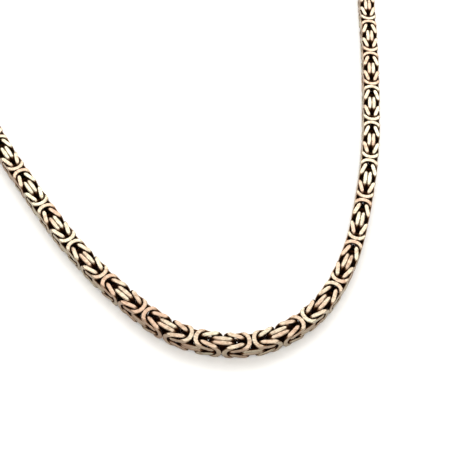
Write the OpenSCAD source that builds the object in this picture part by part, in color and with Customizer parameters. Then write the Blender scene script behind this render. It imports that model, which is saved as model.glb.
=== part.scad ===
// Byzantine chain necklace, laid flat in a closed loop.
// Millimetres, +Z up, underside at z = 0, the clasp at the back and the lowest bend at the front.

/* [Chain] */
// Width and height of the square chain
chain_w = 4; // [3:0.1:6]
// Width of the bevel where the open corners of the weave round off each long edge
chain_bevel = 0.7; // [0.3:0.1:1.2]

/* [Clasp] */
// Length of the clasp body between its two eyes
clasp_l = 10; // [8:0.5:14]
// Width of the clasp body
clasp_w = 4.8; // [4:0.1:7]
// Height of the clasp body
clasp_h = 4; // [3:0.1:6]
// Width of the bevel on every edge of the clasp body
clasp_bevel = 0.5; // [0.2:0.1:0.8]

/* [Eyes] */
// Thickness of the wire of each eye
eye_wire = 1.2; // [0.8:0.1:1.6]
// Width of the hole that the end links pass through
eye_hole = 2.5; // [2.2:0.1:3.2]
// Gap between an eye and the end of the chain
eye_gap = 0.3; // [0.2:0.05:0.5]

/* [Hidden] */
$fn = 48;

// Middle of the clasp on the back of the loop
clasp_at = [-9.3, 96];
// Bends of the chain in order, from the clasp down the left, round the front and up the right
bends = [
    [-31, 92], [-42.5, 81], [-50, 67], [-55.5, 52], [-57.5, 36], [-57, 19.5], [-54, 3],
    [-49.5, -13], [-42.5, -29], [-33.5, -44.5], [-23.5, -58.5], [-12.5, -72.5], [0, -85],
    [14, -94.5], [29.5, -95.5], [42, -87.5], [49.5, -74], [53.5, -58], [56, -41], [57, -24],
    [57.5, -7], [57.5, 10], [57.5, 27], [56, 43.5], [52, 60], [45, 75], [33.5, 87], [18, 94],
];
// Rings of the tube in the stretch from one bend to the next
rings_per_bend = 2;

// Radius of the middle line of an eye's wire
eye_r = (eye_hole + eye_wire) / 2;
// From the middle of the clasp to the middle of an eye, whose wire is sunk in the end of the body
eye_x = clasp_l / 2 + eye_hole / 2;
// From the middle of the clasp to either end of the chain
chain_end_x = eye_x + eye_r + eye_wire / 2 + eye_gap;
// Mid height of the chain, where the eyes sit
mid_z = chain_w / 2;

// The whole route with its two ends at the clasp
route = concat([clasp_at - [chain_end_x, 0]], bends, [clasp_at + [chain_end_x, 0]]);
last = len(route) - 1;

// Point i of the route; one step past either end mirrors the bend beside it, so the chain meets the clasp in line
function route_point(i) =
    i < 0 ? [2 * route[0][0] - route[1][0], route[1][1]]
    : i > last ? [2 * route[last][0] - route[last - 1][0], route[last - 1][1]]
    : route[i];

// Cubic curve through b and c, with a before them and d after, at share t of the way from b to c
function curve(a, b, c, d, t) =
    (2 * b + (c - a) * t + (2 * a - 5 * b + 4 * c - d) * t * t + (3 * b - a - 3 * c + d) * t * t * t) / 2;

// Slope of the same curve
function slope(a, b, c, d, t) =
    ((c - a) + 2 * (2 * a - 5 * b + 4 * c - d) * t + 3 * (3 * b - a - 3 * c + d) * t * t) / 2;

// Square with bevelled corners about the origin, anticlockwise
function bevelled(w, h, bevel) =
    let (x = w / 2, y = h / 2, c = bevel)
    [[x, c - y], [x, y - c], [x - c, y], [c - x, y], [-x, y - c], [-x, c - y], [c - x, -y], [x - c, -y]];

// One ring of the tube: the section stood across the curve, at share t after point i
function ring(section, i, t) =
    let (
        a = route_point(i - 1),
        b = route_point(i),
        c = route_point(i + 1),
        d = route_point(i + 2),
        at = curve(a, b, c, d, t),
        along = slope(a, b, c, d, t) / norm(slope(a, b, c, d, t)),
        side = [along[1], -along[0]]
    )
    [for (p = section) [at[0] + side[0] * p[0], at[1] + side[1] * p[0], mid_z + p[1]]];

// The chain as one tube of its outer section, swept along the route
module chain() {
    section = bevelled(chain_w, chain_w, chain_bevel);
    sides = len(section);
    rings = concat(
        [for (i = [0 : last - 1], k = [0 : rings_per_bend - 1]) ring(section, i, k / rings_per_bend)],
        [ring(section, last - 1, 1)]
    );
    count = len(rings);
    points = [for (r = rings, p = r) p];
    start_cap = [[for (j = [0 : sides - 1]) j]];
    end_cap = [[for (j = [0 : sides - 1]) (count - 1) * sides + sides - 1 - j]];
    walls = [
        for (r = [0 : count - 2], j = [0 : sides - 1], half = [0, 1])
            let (
                a = r * sides + j,
                b = r * sides + (j + 1) % sides
            )
            half == 0 ? [a, a + sides, b + sides] : [a, b + sides, b]
    ];
    color("#c8b9a6") polyhedron(points, concat(start_cap, end_cap, walls), convexity = 10);
}

// Block about the origin with a bevel on every edge
module bevelled_block(l, w, h, bevel) {
    intersection() {
        linear_extrude(height = h, center = true) polygon(bevelled(l, w, bevel));
        rotate([90, 0, 0]) linear_extrude(height = w, center = true) polygon(bevelled(l, h, bevel));
        rotate([0, 90, 0]) linear_extrude(height = l, center = true) polygon(bevelled(h, w, bevel));
    }
}

// A ring of wire lying flat, for the end links of the chain
module eye() {
    rotate_extrude() translate([eye_r, 0]) circle(d = eye_wire);
}

// Plain bar clasp with an eye at each end, resting on its flat underside
module clasp() {
    color("#d6cabb") translate([clasp_at[0], clasp_at[1], 0]) {
        translate([0, 0, clasp_h / 2]) bevelled_block(clasp_l, clasp_w, clasp_h, clasp_bevel);
        for (side = [-1, 1]) translate([side * eye_x, 0, mid_z]) eye();
    }
}

chain();
clasp();
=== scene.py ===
"""Byzantine chain necklace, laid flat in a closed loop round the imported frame."""
import math

import bmesh
import bpy
import numpy as np
from bpy.props import FloatProperty, FloatVectorProperty, IntProperty, PointerProperty
from mathutils import Matrix, Vector


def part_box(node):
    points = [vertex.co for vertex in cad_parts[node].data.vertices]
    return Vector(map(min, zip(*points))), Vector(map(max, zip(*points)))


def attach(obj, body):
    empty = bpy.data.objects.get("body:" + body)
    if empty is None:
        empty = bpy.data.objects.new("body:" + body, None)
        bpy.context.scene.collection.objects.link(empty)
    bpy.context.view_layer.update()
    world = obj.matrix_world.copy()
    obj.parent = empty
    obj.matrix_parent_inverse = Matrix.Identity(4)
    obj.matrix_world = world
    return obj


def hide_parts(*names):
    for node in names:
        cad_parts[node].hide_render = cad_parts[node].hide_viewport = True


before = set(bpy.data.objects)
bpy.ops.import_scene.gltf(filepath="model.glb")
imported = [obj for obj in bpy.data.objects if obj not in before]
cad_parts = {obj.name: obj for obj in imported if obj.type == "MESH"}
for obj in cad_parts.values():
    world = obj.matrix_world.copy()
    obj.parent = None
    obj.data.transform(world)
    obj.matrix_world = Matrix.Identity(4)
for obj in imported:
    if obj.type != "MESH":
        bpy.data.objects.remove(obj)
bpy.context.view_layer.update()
CLASP_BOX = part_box("clasp")
CHAIN_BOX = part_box("chain")

bl_info = {
    "name": "Byzantine Chain Necklace",
    "version": (1, 0, 0),
    "blender": (4, 5, 0),
    "location": "3D View > Sidebar > Necklace",
    "description": "Woven byzantine chain of paired wire links with a bar clasp, on a plain stage",
    "category": "Add Mesh",
}

MM = 0.001
# Powers of the superellipses that the links are bent to: 2 is an ellipse, and more is squarer
CONNECTOR_POWER = 3.25
FAR_POWER = 2.15
NEAR_POWER = 2.07
# Corners of a link's section, outwards and across the link's plane, as shares of half the wire; the corners
# lie where each kind of link is filed, so its filed faces keep the width of the wire
CONNECTOR_SECTION = [(1, 0), (0.5, 0.97), (-0.5, 0.97), (-1, 0), (-0.5, -0.97), (0.5, -0.97)]
LEANING_SECTION = [
    (1, 0.4), (0.5, 0.93), (-0.5, 0.93), (-1, 0.4), (-1, -0.4), (-0.5, -0.93), (0.5, -0.93), (1, -0.4)
]
# How near a cut, and how near a side of the chain, a corner counts as on it, in metres
ON_CUT = 1e-8
ON_SIDE = 1e-7
# Depths below the nearest side of the chain between which its metal turns brown and black, in millimetres
BROWNING = (0.06, 0.15)
BLACKENING = (0.11, 0.3)

# Bends of the chain in millimetres, from the clasp down the left, round the front and up the right
BENDS = [
    [-31, 92], [-42.5, 81], [-50, 67], [-55.5, 52], [-57.5, 36], [-57, 19.5], [-54, 3],
    [-49.5, -13], [-42.5, -29], [-33.5, -44.5], [-23.5, -58.5], [-12.5, -72.5], [0, -85],
    [14, -94.5], [29.5, -95.5], [42, -87.5], [49.5, -74], [53.5, -58], [56, -41], [57, -24],
    [57.5, -7], [57.5, 10], [57.5, 27], [56, 43.5], [52, 60], [45, 75], [33.5, 87], [18, 94],
]


def linear(code):
    """An sRGB hex colour as linear red, green, blue and alpha."""
    srgb = np.array([int(code[i:i + 2], 16) for i in (1, 3, 5)]) / 255
    low = srgb / 12.92
    high = ((srgb + 0.055) / 1.055) ** 2.4
    return (*np.where(srgb <= 0.04045, low, high).tolist(), 1.0)


def length_property(name, description, default):
    """A size in metres that the sidebar shows with its unit."""
    return FloatProperty(name=name, description=description, default=default, precision=5, unit="LENGTH")


def power_property(name, description, default):
    """A light's power in watts that the sidebar shows with its unit."""
    return FloatProperty(name=name, description=description, default=default, min=0, unit="POWER")


def colour_property(name, description, code):
    """A colour that the sidebar shows as a swatch."""
    return FloatVectorProperty(
        name=name, description=description, default=linear(code), size=4, subtype="COLOR", min=0, max=1
    )


class NecklaceWeave(bpy.types.PropertyGroup):
    """Sizes of the weave and its three kinds of links."""

    width: length_property(
        "Chain width", "Width and height of the square chain", CHAIN_BOX[1].z - CHAIN_BOX[0].z
    )
    wire: length_property("Wire", "Thickness of the wire that every link is bent from", 0.95 * MM)
    half_repeats: IntProperty(
        name="Half repeats",
        description="Steps from one connector pair to the next in the whole chain",
        default=80,
    )
    end_inset: length_property(
        "End inset", "From either end of the chain to the middle of its last connector pair", 0.25 * MM
    )
    eye_gap: length_property(
        "Eye gap", "Gap between an eye of the clasp and the end of the chain", 0.3 * MM
    )
    pair_offset: length_property(
        "Pair offset", "From the middle of the chain to the wire of each connector link", 0.492 * MM
    )
    connector_length: length_property(
        "Connector length", "Length of a connector link along the middle of its wire", 4.96 * MM
    )
    connector_height: length_property(
        "Connector height", "Height of a connector link along the middle of its wire", 3.52 * MM
    )
    rising_far: length_property(
        "Rising far half",
        "From the widest place of a rising or spreading link to its far end",
        2.255 * MM,
    )
    rising_near: length_property(
        "Rising near half",
        "From the widest place of a rising or spreading link to its near end",
        2.425 * MM,
    )
    rising_width: length_property(
        "Rising width", "Width of a rising or spreading link along the middle of its wire", 3.97 * MM
    )
    rising_reach: length_property(
        "Rising reach", "From the next connector pair back to the far end of a rising link", 0.49 * MM
    )
    rising_low: length_property(
        "Rising low end", "From the middle of the chain to the near end of a rising link", 0.5 * MM
    )
    rising_high: length_property(
        "Rising high end", "From the middle of the chain to the far end of a rising link", 1.89 * MM
    )
    edge: length_property("Broken edge", "Width of the worn edge round each filed face", 0.12 * MM)
    stations: IntProperty(
        name="Stations", description="Sections along the wire of a link", default=16, min=12
    )
    seed: IntProperty(name="Seed", description="Seed of the tone that each link takes", default=7)


class NecklaceFinish(bpy.types.PropertyGroup):
    """Colours of the silver."""

    polished: colour_property("Polished silver", "Where the filed faces are rubbed bright", "#B7B09B")
    warm: colour_property("Warm silver", "Thin warm film on the filed faces", "#A9907C")
    film: colour_property("Tarnish film", "Brown film beside the recesses", "#6A4A30")
    recess: colour_property("Recess", "Blackened silver between the links", "#2C1608")
    clasp: colour_property("Clasp silver", "Satin silver of the clasp", "#BDB5A6")


class NecklaceStage(bpy.types.PropertyGroup):
    """Floor, light and camera."""

    floor: colour_property("Floor", "Matt pale floor", "#FBFBFA")
    key_power: power_property("Key light", "Power of the softbox above and behind", 1.65)
    card_power: power_property("Lit card", "Power of the wide lit card low behind", 7.2)
    top_power: power_property("Top light", "Power of the small softbox above and in front", 1.2)
    fill_colour: colour_property("Fill colour", "Colour of the even light all round", "#FFFCF7")
    fill_level: FloatProperty(
        name="Fill level", description="Strength of the even light all round", default=0.87, min=0
    )
    lens: FloatProperty(
        name="Lens", description="Focal length on a 36 mm sensor", default=72.0, unit="CAMERA"
    )


def add(tree, kind, inputs=None, **settings):
    """Adds a node to tree, sets its properties, and links or sets each named or numbered input."""
    node = tree.nodes.new(kind)
    for key, value in settings.items():
        setattr(node, key, value)
    for key, value in (inputs or {}).items():
        if isinstance(value, bpy.types.NodeSocket):
            tree.links.new(value, node.inputs[key])
        else:
            node.inputs[key].default_value = value
    return node


def new_material(name):
    """An empty node material and its tree."""
    material = bpy.data.materials.new(name)
    material.use_nodes = True
    material.node_tree.nodes.clear()
    return material, material.node_tree


def smooth_curve(points, samples):
    """Cubic curve through points, whose slope at each point is half the step between its two neighbours.

    Between b and c, with a before and d after, the place at share t is half of
    2b + (c - a)t + (2a - 5b + 4c - d)t^2 + (3b - a - 3c + d)t^3.
    """
    a, b, c, d = (points[i:len(points) - 3 + i, None] for i in range(4))
    t = (np.arange(samples) / samples)[None, :, None]
    cubic = 3 * b - a - 3 * c + d
    square = 2 * a - 5 * b + 4 * c - d
    line = (2 * b + (c - a) * t + square * t ** 2 + cubic * t ** 3) / 2
    return np.vstack([line.reshape(-1, 2), points[-2]])


class Route:
    """The chain's middle line on the floor, as a table of its own length, place and direction."""

    SAMPLES = 60
    OVERHANG = 8 * MM

    def __init__(self, weave):
        low, high = CLASP_BOX
        back = (low.y + high.y) / 2
        start = [low.x - weave.eye_gap, back]
        end = [high.x + weave.eye_gap, back]
        bends = np.array(BENDS, float) * MM
        before = [2 * start[0] - bends[0, 0], bends[0, 1]]
        after = [2 * end[0] - bends[-1, 0], bends[-1, 1]]
        line = smooth_curve(np.vstack([before, start, bends, end, after]), self.SAMPLES)
        steps = np.linalg.norm(np.diff(line, axis=0), axis=1)
        along = np.concatenate([[0], np.cumsum(steps)])
        self.length = along[-1]
        slope = np.gradient(line, axis=0)
        slope /= np.linalg.norm(slope, axis=1)[:, None]
        slope[0] = slope[-1] = (-1, 0)
        reach = self.OVERHANG * slope[0]
        self.line = np.vstack([line[0] - reach, line, line[-1] + reach])
        self.slope = np.vstack([slope[0], slope, slope[-1]])
        self.along = np.concatenate([[-self.OVERHANG], along, [self.length + self.OVERHANG]])

    def turn(self, at, along, across, up):
        """Vectors given along the line, to its left and up, turned to the line's direction at a place."""
        dx, dy = (np.interp(at, self.along, self.slope[:, i]) for i in (0, 1))
        size = np.hypot(dx, dy)
        x = (dx * along - dy * across) / size
        y = (dy * along + dx * across) / size
        return np.stack([x, y, up], -1)

    def carry(self, along, across, up):
        """Place of points given along the line, to its left and above the floor."""
        x, y = (np.interp(along, self.along, self.line[:, i]) for i in (0, 1))
        return np.stack([x, y, np.zeros_like(x)], -1) + self.turn(along, 0 * along, across, up)


def oval(far, near, half_width, far_power, near_power, stations):
    """Egg shape of two half superellipses that share their width, as two arrays of its points.

    The coordinates are the cosine and sine of an angle, each raised to 2 / power with its sign kept, times
    the half length, which is far ahead of the widest place and near behind it, and the half width. The
    points are as far apart in share of the whole line plus twice their share of the whole turn, so they
    stand closer together where the line bends more.
    """
    angle = np.linspace(0, 2 * np.pi, 40 * stations + 1)
    c, s = np.cos(angle), np.sin(angle)
    power = np.where(c >= 0, far_power, near_power)
    a = np.sign(c) * np.abs(c) ** (2 / power) * np.where(c >= 0, far, near)
    b = np.sign(s) * np.abs(s) ** (2 / power) * half_width
    da, db = np.diff(a), np.diff(b)
    length = np.hypot(da, db)
    bend = np.abs(np.diff(np.unwrap(np.arctan2(db, da)), append=np.arctan2(db[0], da[0]) + 2 * np.pi))
    along = np.concatenate([[0], np.cumsum(length / length.sum() + 2 * bend / bend.sum())])
    even = np.arange(stations) / stations * along[-1]
    return np.interp(even, along, a), np.interp(even, along, b)


def tube(line, normal, radius, section):
    """Closed tube round a flat closed line.

    Each point of the line first stands out by an eighth of its distance from the middle between its two
    neighbours, which is half of what the straight stretches beside it cut off the bend. Each corner of the
    section there is radius times its first number along the outward direction, which is the line's slope
    crossed with the plane's normal, plus radius times its second number along that normal. Returns the
    points and the four corners of each face.
    """
    before, after = np.roll(line, 1, 0), np.roll(line, -1, 0)
    slope = (after - before) / np.linalg.norm(after - before, axis=1)[:, None]
    outward = np.cross(slope, normal)
    line = line + (line - (before + after) / 2) / 8
    out, over = radius * np.array(section).T[:, None, :, None]
    points = line[:, None] + out * outward[:, None] + over * normal
    stations, sides = len(line), len(section)
    i, j = np.meshgrid(np.arange(stations), np.arange(sides), indexing="ij")
    i2, j2 = (i + 1) % stations, (j + 1) % sides
    faces = np.stack([i * sides + j, i2 * sides + j, i2 * sides + j2, i * sides + j2], -1)
    return points.reshape(-1, 3), faces.reshape(-1, 4)


class Link:
    """One filed link about the chain's middle line: points, their normals, and the corners of its faces."""

    def __init__(self, points, faces, half_width, edge):
        metal = bmesh.new()
        rough = bpy.data.meshes.new("rough_link")
        rough.from_pydata(points.tolist(), [], faces.tolist())
        metal.from_mesh(rough)
        bpy.data.meshes.remove(rough)
        for axis in (1, 2):
            for side in (-1, 1):
                self.file_flat(metal, axis, side, half_width)
        bmesh.ops.recalc_face_normals(metal, faces=metal.faces)
        self.break_edges(metal, half_width, edge)
        filed = bpy.data.meshes.new("filed_link")
        metal.to_mesh(filed)
        metal.free()
        self.points = np.empty(3 * len(filed.vertices))
        filed.vertices.foreach_get("co", self.points)
        self.points = self.points.reshape(-1, 3)
        self.normals = np.empty_like(self.points.ravel())
        filed.vertices.foreach_get("normal", self.normals)
        self.normals = self.normals.reshape(-1, 3)
        self.corners = np.empty(len(filed.loops), int)
        filed.loops.foreach_get("vertex_index", self.corners)
        self.counts = np.empty(len(filed.polygons), int)
        filed.polygons.foreach_get("loop_total", self.counts)
        bpy.data.meshes.remove(filed)
        # A filed face shades as flat, and its worn edge as a round one that ends square to that face
        for axis in (1, 2):
            on_side = np.abs(np.abs(self.points[:, axis]) - half_width) < ON_SIDE
            self.normals[on_side] = 0
            self.normals[on_side, axis] = np.sign(self.points[on_side, axis])

    @staticmethod
    def file_flat(metal, axis, side, half_width):
        """Cuts off what stands beyond one side of the chain and closes the cut with a flat face."""
        normal = Vector((0, 0, 0))
        normal[axis] = side
        parts = [*metal.verts, *metal.edges, *metal.faces]
        bmesh.ops.bisect_plane(
            metal, geom=parts, dist=ON_CUT, plane_co=normal * half_width, plane_no=normal, clear_outer=True
        )
        rim = [edge for edge in metal.edges if edge.is_boundary]
        bmesh.ops.holes_fill(metal, edges=rim, sides=0)

    @staticmethod
    def sides_at(vert, half_width):
        """Which of the chain's sides a corner lies on, as the axes across them."""
        return {axis for axis in (1, 2) if abs(abs(vert.co[axis]) - half_width) < ON_SIDE}

    @classmethod
    def join_short_edges(cls, metal, half_width, shortest):
        """Joins the two ends of each edge round the filed faces that is shorter than shortest.

        They are joined at the end that lies on every side of the chain that the other lies on.
        """
        while True:
            short = {}
            for edge in metal.edges:
                first, second = (cls.sides_at(vert, half_width) for vert in edge.verts)
                nested = first <= second or second <= first
                if edge.calc_length() < shortest and (first or second) and nested:
                    short[edge] = edge.calc_length()
            if not short:
                return
            verts = min(short, key=short.get).verts
            lost, kept = sorted(verts, key=lambda vert: len(cls.sides_at(vert, half_width)))
            bmesh.ops.weld_verts(metal, targetmap={lost: kept})

    @classmethod
    def break_edges(cls, metal, half_width, edge):
        """Breaks the sharp rim of each flat face, once no side of it is shorter than two widths of edge.

        A strip as wide as edge runs round the face, and drops by a third of that to its rim.
        """
        cls.join_short_edges(metal, half_width, 2 * edge)
        flats = [
            face for face in metal.faces
            if set.intersection(*(cls.sides_at(vert, half_width) for vert in face.verts))
        ]
        rims = {face: (list(face.verts), face.normal.copy()) for face in flats}
        bmesh.ops.inset_individual(metal, faces=flats, thickness=edge, use_even_offset=True)
        for verts, normal in rims.values():
            for vert in verts:
                vert.co -= normal * edge / 3


def connector_link(weave, step):
    """Upright oval link beside the middle of the chain, pair_offset to its left."""
    half = weave.connector_length / 2
    a, b = oval(half, half, weave.connector_height / 2, CONNECTOR_POWER, CONNECTOR_POWER, weave.stations)
    line = np.stack([a, np.full_like(a, weave.pair_offset), b], -1)
    points, faces = tube(line, np.array([0.0, 1.0, 0.0]), weave.wire / 2, CONNECTOR_SECTION)
    return Link(points, faces, weave.width / 2, weave.edge)


def leaning_tube(weave, step):
    """Oval link that lies across the chain and rises from rising_low to rising_high along it."""
    a, b = oval(
        weave.rising_far, weave.rising_near, weave.rising_width / 2, FAR_POWER, NEAR_POWER, weave.stations
    )
    climb = (weave.rising_high - weave.rising_low) / (weave.rising_far + weave.rising_near)
    run = math.sqrt(1 - climb ** 2)
    back = a - weave.rising_far
    line = np.stack([step - weave.rising_reach + back * run, b, weave.rising_high + back * climb], -1)
    normal = np.array([-climb, 0.0, run])
    return tube(line, normal, weave.wire / 2, LEANING_SECTION)


def rising_link(weave, step):
    """Upper link of the pair whose near ends lie together in a connector pair and whose far ends spread."""
    points, faces = leaning_tube(weave, step)
    return Link(points, faces, weave.width / 2, weave.edge)


def spreading_link(weave, step):
    """The rising link turned end for end and a quarter round, so it meets the next connector pair."""
    points, faces = leaning_tube(weave, step)
    turned = np.stack([step - points[:, 0], points[:, 2], points[:, 1]], -1)
    return Link(turned, faces, weave.width / 2, weave.edge)


def links_object(name, weave, make_link, pairs):
    """One mesh of all pairs of one kind of link, carried along the route.

    Pair k stands k steps along the chain and is turned k quarter turns about it, and its second link is
    half a turn from its first. Each point is then carried from the straight chain to the route.
    """
    route = Route(weave)
    step = (route.length - 2 * weave.end_inset) / weave.half_repeats
    link = make_link(weave, step)
    place, second = (part.ravel() for part in np.meshgrid(np.arange(pairs), [0, 1], indexing="ij"))
    quarter = (place + 2 * second) % 4
    c = np.array([1, 0, -1, 0])[quarter][:, None]
    s = np.array([0, 1, 0, -1])[quarter][:, None]
    x, y, z = link.points.T
    along = weave.end_inset + place[:, None] * step + x
    across = c * y - s * z
    up = s * y + c * z
    points = route.carry(along, across, up + weave.width / 2)
    nx, ny, nz = link.normals.T
    normals = route.turn(along, nx + 0 * along, c * ny - s * nz, s * ny + c * nz)

    count = len(place)
    mesh = bpy.data.meshes.new(name)
    mesh.vertices.add(count * len(x))
    mesh.vertices.foreach_set("co", points.ravel())
    corners = link.corners + len(x) * np.arange(count)[:, None]
    mesh.loops.add(corners.size)
    mesh.loops.foreach_set("vertex_index", corners.ravel())
    counts = np.tile(link.counts, count)
    mesh.polygons.add(len(counts))
    mesh.polygons.foreach_set("loop_start", np.cumsum(counts) - counts)
    mesh.update(calc_edges=True)
    mesh.shade_smooth()
    mesh.normals_split_custom_set_from_vertices(normals.reshape(-1, 3))

    weave_place = np.stack([along, across, up], -1) / MM
    mesh.attributes.new("weave", "FLOAT_VECTOR", "POINT").data.foreach_set("vector", weave_place.ravel())
    tone = np.random.default_rng(weave.seed + len(x)).random(count)
    mesh.attributes.new("link_tone", "FLOAT", "POINT").data.foreach_set("value", np.repeat(tone, len(x)))
    piece = bpy.data.objects.new(name, mesh)
    bpy.context.scene.collection.objects.link(piece)
    return piece


def chain_silver(weave, finish):
    """Worn sterling silver: links filed flat, rubbed bright on the sides, blackened between the links.

    The weave attribute gives each point's place in the straight chain in millimetres. Its depth below the
    nearest side of the chain turns the metal from bright to brown to black within a third of a millimetre.
    """
    name = "Worn filed sterling silver"
    if name in bpy.data.materials:
        return bpy.data.materials[name]
    material, tree = new_material(name)
    place = add(tree, "ShaderNodeAttribute", attribute_name="weave").outputs["Vector"]
    tone = add(tree, "ShaderNodeAttribute", attribute_name="link_tone").outputs["Fac"]
    spot = add(tree, "ShaderNodeTexCoord").outputs["Object"]
    axes = add(tree, "ShaderNodeSeparateXYZ", {0: place})
    half = weave.width / 2 / MM
    sides = []
    for axis in ("Y", "Z"):
        size = add(tree, "ShaderNodeMath", {0: axes.outputs[axis]}, operation="ABSOLUTE")
        below = add(tree, "ShaderNodeMath", {0: half, 1: size.outputs[0]}, operation="SUBTRACT")
        sides.append(below.outputs[0])
    depth = add(tree, "ShaderNodeMath", {0: sides[0], 1: sides[1]}, operation="MINIMUM").outputs[0]
    # Uneven edge of the film, in grains of a quarter of a millimetre
    grain = add(tree, "ShaderNodeTexNoise", {"Vector": place, "Scale": 4.0, "Detail": 3.0}).outputs["Fac"]
    ragged = add(tree, "ShaderNodeMath", {0: grain, 1: 0.16, 2: -0.08}, operation="MULTIPLY_ADD").outputs[0]
    worn_depth = add(tree, "ShaderNodeMath", {0: depth, 1: ragged}, operation="ADD").outputs[0]
    browned = add(
        tree, "ShaderNodeMapRange",
        {"Value": worn_depth, "From Min": BROWNING[0], "From Max": BROWNING[1]},
        interpolation_type="SMOOTHSTEP",
    ).outputs[0]
    blackened = add(
        tree, "ShaderNodeMapRange",
        {"Value": worn_depth, "From Min": BLACKENING[0], "From Max": BLACKENING[1]},
        interpolation_type="SMOOTHSTEP",
    ).outputs[0]
    # Warm and cool patches of the film, 6 mm across
    patch = add(
        tree, "ShaderNodeTexNoise", {"Vector": spot, "Scale": 1 / (6 * MM), "Detail": 4.0}
    ).outputs["Fac"]
    patchy = add(
        tree, "ShaderNodeMapRange", {"Value": patch, "From Min": 0.36, "From Max": 0.64}
    ).outputs[0]
    mixed = add(tree, "ShaderNodeMath", {0: patchy, 1: tone}, operation="ADD").outputs[0]
    warmth = add(tree, "ShaderNodeMapRange", {"Value": mixed, "From Min": 0.45, "From Max": 1.65}).outputs[0]
    silver = add(
        tree, "ShaderNodeMix", {0: warmth, 6: tuple(finish.polished), 7: tuple(finish.warm)},
        data_type="RGBA",
    ).outputs[2]
    # Scratches filled with tarnish, 0.15 mm apart and drawn out along the chain, and stains 1 mm across
    drawn = add(
        tree, "ShaderNodeVectorMath", {0: place, 1: (0.8, 7.0, 7.0)}, operation="MULTIPLY"
    ).outputs[0]
    scratch = add(tree, "ShaderNodeTexNoise", {"Vector": drawn, "Scale": 1.0, "Detail": 3.0}).outputs["Fac"]
    scored = add(
        tree, "ShaderNodeMapRange", {"Value": scratch, "From Min": 0.52, "From Max": 0.75, "To Max": 0.6}
    ).outputs[0]
    blotch = add(tree, "ShaderNodeTexNoise", {"Vector": place, "Scale": 1.1, "Detail": 4.0}).outputs["Fac"]
    stained = add(
        tree, "ShaderNodeMapRange", {"Value": blotch, "From Min": 0.5, "From Max": 0.8, "To Max": 0.8}
    ).outputs[0]
    marks = add(tree, "ShaderNodeMath", {0: scored, 1: stained}, operation="MAXIMUM").outputs[0]
    dirty = add(tree, "ShaderNodeMath", {0: marks, 1: browned}, operation="MAXIMUM").outputs[0]
    filmed = add(
        tree, "ShaderNodeMix", {0: dirty, 6: silver, 7: tuple(finish.film)}, data_type="RGBA"
    ).outputs[2]
    colour = add(
        tree, "ShaderNodeMix", {0: blackened, 6: filmed, 7: tuple(finish.recess)}, data_type="RGBA"
    ).outputs[2]
    # The same scratches in relief, over shallow dents 0.6 mm across
    dents = add(tree, "ShaderNodeTexNoise", {"Vector": place, "Scale": 1.6, "Detail": 2.0}).outputs["Fac"]
    relief = add(tree, "ShaderNodeMath", {0: dents, 1: 3.0, 2: scratch}, operation="MULTIPLY_ADD").outputs[0]
    bump = add(tree, "ShaderNodeBump", {"Height": relief, "Strength": 0.6, "Distance": 0.03 * MM}).outputs[0]
    rough = add(
        tree, "ShaderNodeMapRange",
        {"Value": scratch, "From Min": 0.3, "From Max": 0.7, "To Min": 0.3, "To Max": 0.46},
    ).outputs[0]
    dull = add(tree, "ShaderNodeMath", {0: blackened, 1: 0.2, 2: rough}, operation="MULTIPLY_ADD").outputs[0]
    shader = add(
        tree, "ShaderNodeBsdfPrincipled",
        {"Base Color": colour, "Metallic": 1.0, "Roughness": dull, "Normal": bump},
    )
    add(tree, "ShaderNodeOutputMaterial", {"Surface": shader.outputs[0]})
    return material


def clasp_silver(finish):
    """Cast sterling silver with a satin finish: even and pale, with fine brushing along the bar."""
    material, tree = new_material("Satin cast sterling silver")
    spot = add(tree, "ShaderNodeTexCoord").outputs["Object"]
    # Brush lines 0.2 mm apart, drawn out along the bar
    drawn = add(
        tree, "ShaderNodeVectorMath", {0: spot, 1: (0.4 / MM, 5 / MM, 5 / MM)}, operation="MULTIPLY"
    ).outputs[0]
    brushed = add(tree, "ShaderNodeTexNoise", {"Vector": drawn, "Scale": 1.0, "Detail": 3.0}).outputs["Fac"]
    # Pale and warm patches, 3 mm across
    patch = add(
        tree, "ShaderNodeTexNoise", {"Vector": spot, "Scale": 1 / (3 * MM), "Detail": 3.0}
    ).outputs["Fac"]
    colour = add(
        tree, "ShaderNodeMix", {0: patch, 6: tuple(finish.clasp), 7: tuple(finish.warm)}, data_type="RGBA"
    ).outputs[2]
    rough = add(
        tree, "ShaderNodeMapRange",
        {"Value": brushed, "From Min": 0.3, "From Max": 0.7, "To Min": 0.26, "To Max": 0.4},
    ).outputs[0]
    bump = add(
        tree, "ShaderNodeBump", {"Height": brushed, "Strength": 0.5, "Distance": 0.02 * MM}
    ).outputs[0]
    shader = add(
        tree, "ShaderNodeBsdfPrincipled",
        {"Base Color": colour, "Metallic": 1.0, "Roughness": rough, "Normal": bump},
    )
    add(tree, "ShaderNodeOutputMaterial", {"Surface": shader.outputs[0]})
    return material


def place_links(context, name, make_link, short):
    """Makes one kind of link, short pairs fewer than connector pairs, in the place of the chain's tube."""
    weave = context.scene.necklace_weave
    piece = links_object(name, weave, make_link, weave.half_repeats + 1 - short)
    piece.data.materials.append(chain_silver(weave, context.scene.necklace_finish))
    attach(piece, "root")
    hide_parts("chain")


class NECKLACE_OT_connector_links(bpy.types.Operator):
    """Make the pairs of oval links that stand side by side and join the rest"""

    bl_idname = "necklace.connector_links"
    bl_label = "Connector links"

    def execute(self, context):
        place_links(context, "connector_links", connector_link, 0)
        return {"FINISHED"}


class NECKLACE_OT_rising_links(bpy.types.Operator):
    """Make the pairs of links that spread away from a connector pair"""

    bl_idname = "necklace.rising_links"
    bl_label = "Rising links"

    def execute(self, context):
        place_links(context, "rising_links", rising_link, 1)
        return {"FINISHED"}


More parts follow.
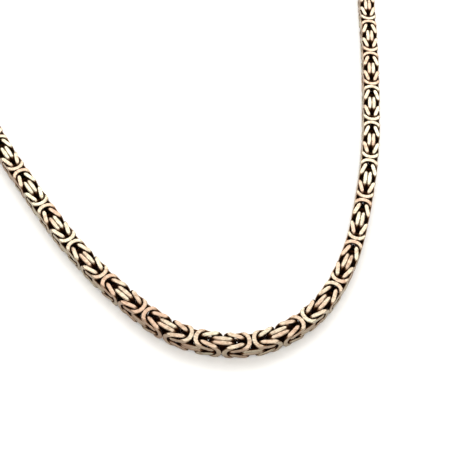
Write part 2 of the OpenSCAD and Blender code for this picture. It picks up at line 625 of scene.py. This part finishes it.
class NECKLACE_OT_spreading_links(bpy.types.Operator):
    """Make the pairs of links that close in on the next connector pair"""

    bl_idname = "necklace.spreading_links"
    bl_label = "Spreading links"

    def execute(self, context):
        place_links(context, "spreading_links", spreading_link, 1)
        return {"FINISHED"}


class NECKLACE_OT_clasp(bpy.types.Operator):
    """Give the bar clasp its satin silver"""

    bl_idname = "necklace.clasp"
    bl_label = "Clasp"

    def execute(self, context):
        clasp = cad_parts["clasp"]
        clasp.data.materials.clear()
        clasp.data.materials.append(clasp_silver(context.scene.necklace_finish))
        return {"FINISHED"}


def matt_floor(stage):
    """Matt white card: even and pale, with no gloss."""
    material, tree = new_material("Matt white card")
    shader = add(
        tree, "ShaderNodeBsdfPrincipled",
        {"Base Color": tuple(stage.floor), "Roughness": 0.95, "Specular IOR Level": 0.1},
    )
    add(tree, "ShaderNodeOutputMaterial", {"Surface": shader.outputs[0]})
    return material


def softbox(name, power, size, elevation, azimuth, distance, target):
    """Flat area light of a width and height in metres, turned to target from distance metres away.

    Its direction from target is elevation degrees up from straight behind, so past 90 it is in front, and
    azimuth degrees to the right.
    """
    up = math.radians(elevation)
    turn = math.radians(azimuth)
    toward = Vector((math.sin(turn) * math.cos(up), math.cos(turn) * math.cos(up), math.sin(up)))
    place = target + toward * distance
    lamp = bpy.data.lights.new(name, "AREA")
    lamp.energy = power
    lamp.shape = "RECTANGLE"
    lamp.size, lamp.size_y = size
    holder = bpy.data.objects.new(name, lamp)
    holder.location = place
    holder.rotation_euler = (target - place).to_track_quat("-Z", "Y").to_euler()
    bpy.context.scene.collection.objects.link(holder)


class NECKLACE_OT_stage(bpy.types.Operator):
    """Make the floor, the soft light and the camera"""

    bl_idname = "necklace.stage"
    bl_label = "Stage"

    # Place of the camera in metres, its angle above the floor and its roll in degrees, and the width of its
    # sensor in millimetres
    CAMERA_PLACE = (0.022, -0.183, 0.168)
    CAMERA_ELEVATION = 54.79
    CAMERA_ROLL = 3.03
    SENSOR_WIDTH = 36
    # Each light's name, the setting that holds its power, its width and height in metres, and its angles up
    # from straight behind and to the right in degrees. The filed tops of the two sides of the loop mirror
    # the wide card low behind, and the broken edges catch the small softbox above and in front.
    LIGHTS = [
        ("key_softbox", "key_power", (0.9, 0.42), 64, -4),
        ("lit_card", "card_power", (1.4, 0.42), 43, 0),
        ("top_softbox", "top_power", (0.18, 0.18), 124, 0),
    ]
    # Place on the floor that the lights are turned to, and how far from it they stand, in metres
    LIGHT_TARGET = (0, -0.03, 0)
    LIGHT_DISTANCE = 0.9
    FLOOR_SIZE = 3.0

    def execute(self, context):
        stage = context.scene.necklace_stage
        half = self.FLOOR_SIZE / 2
        mesh = bpy.data.meshes.new("floor")
        corners = [(x * half, y * half, 0) for x, y in ((-1, -1), (1, -1), (1, 1), (-1, 1))]
        mesh.from_pydata(corners, [], [(0, 1, 2, 3)])
        floor = bpy.data.objects.new("floor", mesh)
        context.scene.collection.objects.link(floor)
        mesh.materials.append(matt_floor(stage))

        target = Vector(self.LIGHT_TARGET)
        for name, setting, size, elevation, azimuth in self.LIGHTS:
            power = getattr(stage, setting)
            softbox(name, power, size, elevation, azimuth, self.LIGHT_DISTANCE, target)

        world = bpy.data.worlds.new("studio")
        world.use_nodes = True
        background = world.node_tree.nodes["Background"]
        background.inputs["Color"].default_value = tuple(stage.fill_colour)
        background.inputs["Strength"].default_value = stage.fill_level
        context.scene.world = world
        context.scene.view_settings.view_transform = "Standard"

        lens = bpy.data.cameras.new("camera")
        lens.sensor_width = self.SENSOR_WIDTH
        lens.lens = stage.lens
        lens.clip_start = 0.01
        camera = bpy.data.objects.new("camera", lens)
        tilt = Matrix.Rotation(math.radians(90 - self.CAMERA_ELEVATION), 4, "X")
        roll = Matrix.Rotation(math.radians(self.CAMERA_ROLL), 4, "Z")
        camera.matrix_world = Matrix.Translation(self.CAMERA_PLACE) @ tilt @ roll
        context.scene.collection.objects.link(camera)
        context.scene.camera = camera
        return {"FINISHED"}


class NECKLACE_PT_panel(bpy.types.Panel):
    """Sizes, colours and pieces of the necklace"""

    bl_label = "Byzantine Necklace"
    bl_space_type = "VIEW_3D"
    bl_region_type = "UI"
    bl_category = "Necklace"

    def draw(self, context):
        for group in PROPERTY_GROUPS:
            column = self.layout.column(align=True)
            settings = getattr(context.scene, PROPERTY_GROUPS[group])
            for key in group.__annotations__:
                column.prop(settings, key)
        for operator in OPERATORS:
            self.layout.operator(operator.bl_idname)


PROPERTY_GROUPS = {
    NecklaceWeave: "necklace_weave",
    NecklaceFinish: "necklace_finish",
    NecklaceStage: "necklace_stage",
}
OPERATORS = [
    NECKLACE_OT_stage,
    NECKLACE_OT_connector_links,
    NECKLACE_OT_rising_links,
    NECKLACE_OT_spreading_links,
    NECKLACE_OT_clasp,
]


def register():
    for group, key in PROPERTY_GROUPS.items():
        bpy.utils.register_class(group)
        setattr(bpy.types.Scene, key, PointerProperty(type=group))
    for operator in OPERATORS:
        bpy.utils.register_class(operator)
    bpy.utils.register_class(NECKLACE_PT_panel)


def unregister():
    bpy.utils.unregister_class(NECKLACE_PT_panel)
    for operator in reversed(OPERATORS):
        bpy.utils.unregister_class(operator)
    for group, key in PROPERTY_GROUPS.items():
        delattr(bpy.types.Scene, key)
        bpy.utils.unregister_class(group)


def main():
    register()
    bpy.ops.necklace.stage()
    bpy.ops.necklace.connector_links()
    bpy.ops.necklace.rising_links()
    bpy.ops.necklace.spreading_links()
    bpy.ops.necklace.clasp()


if __name__ == "__main__":
    main()
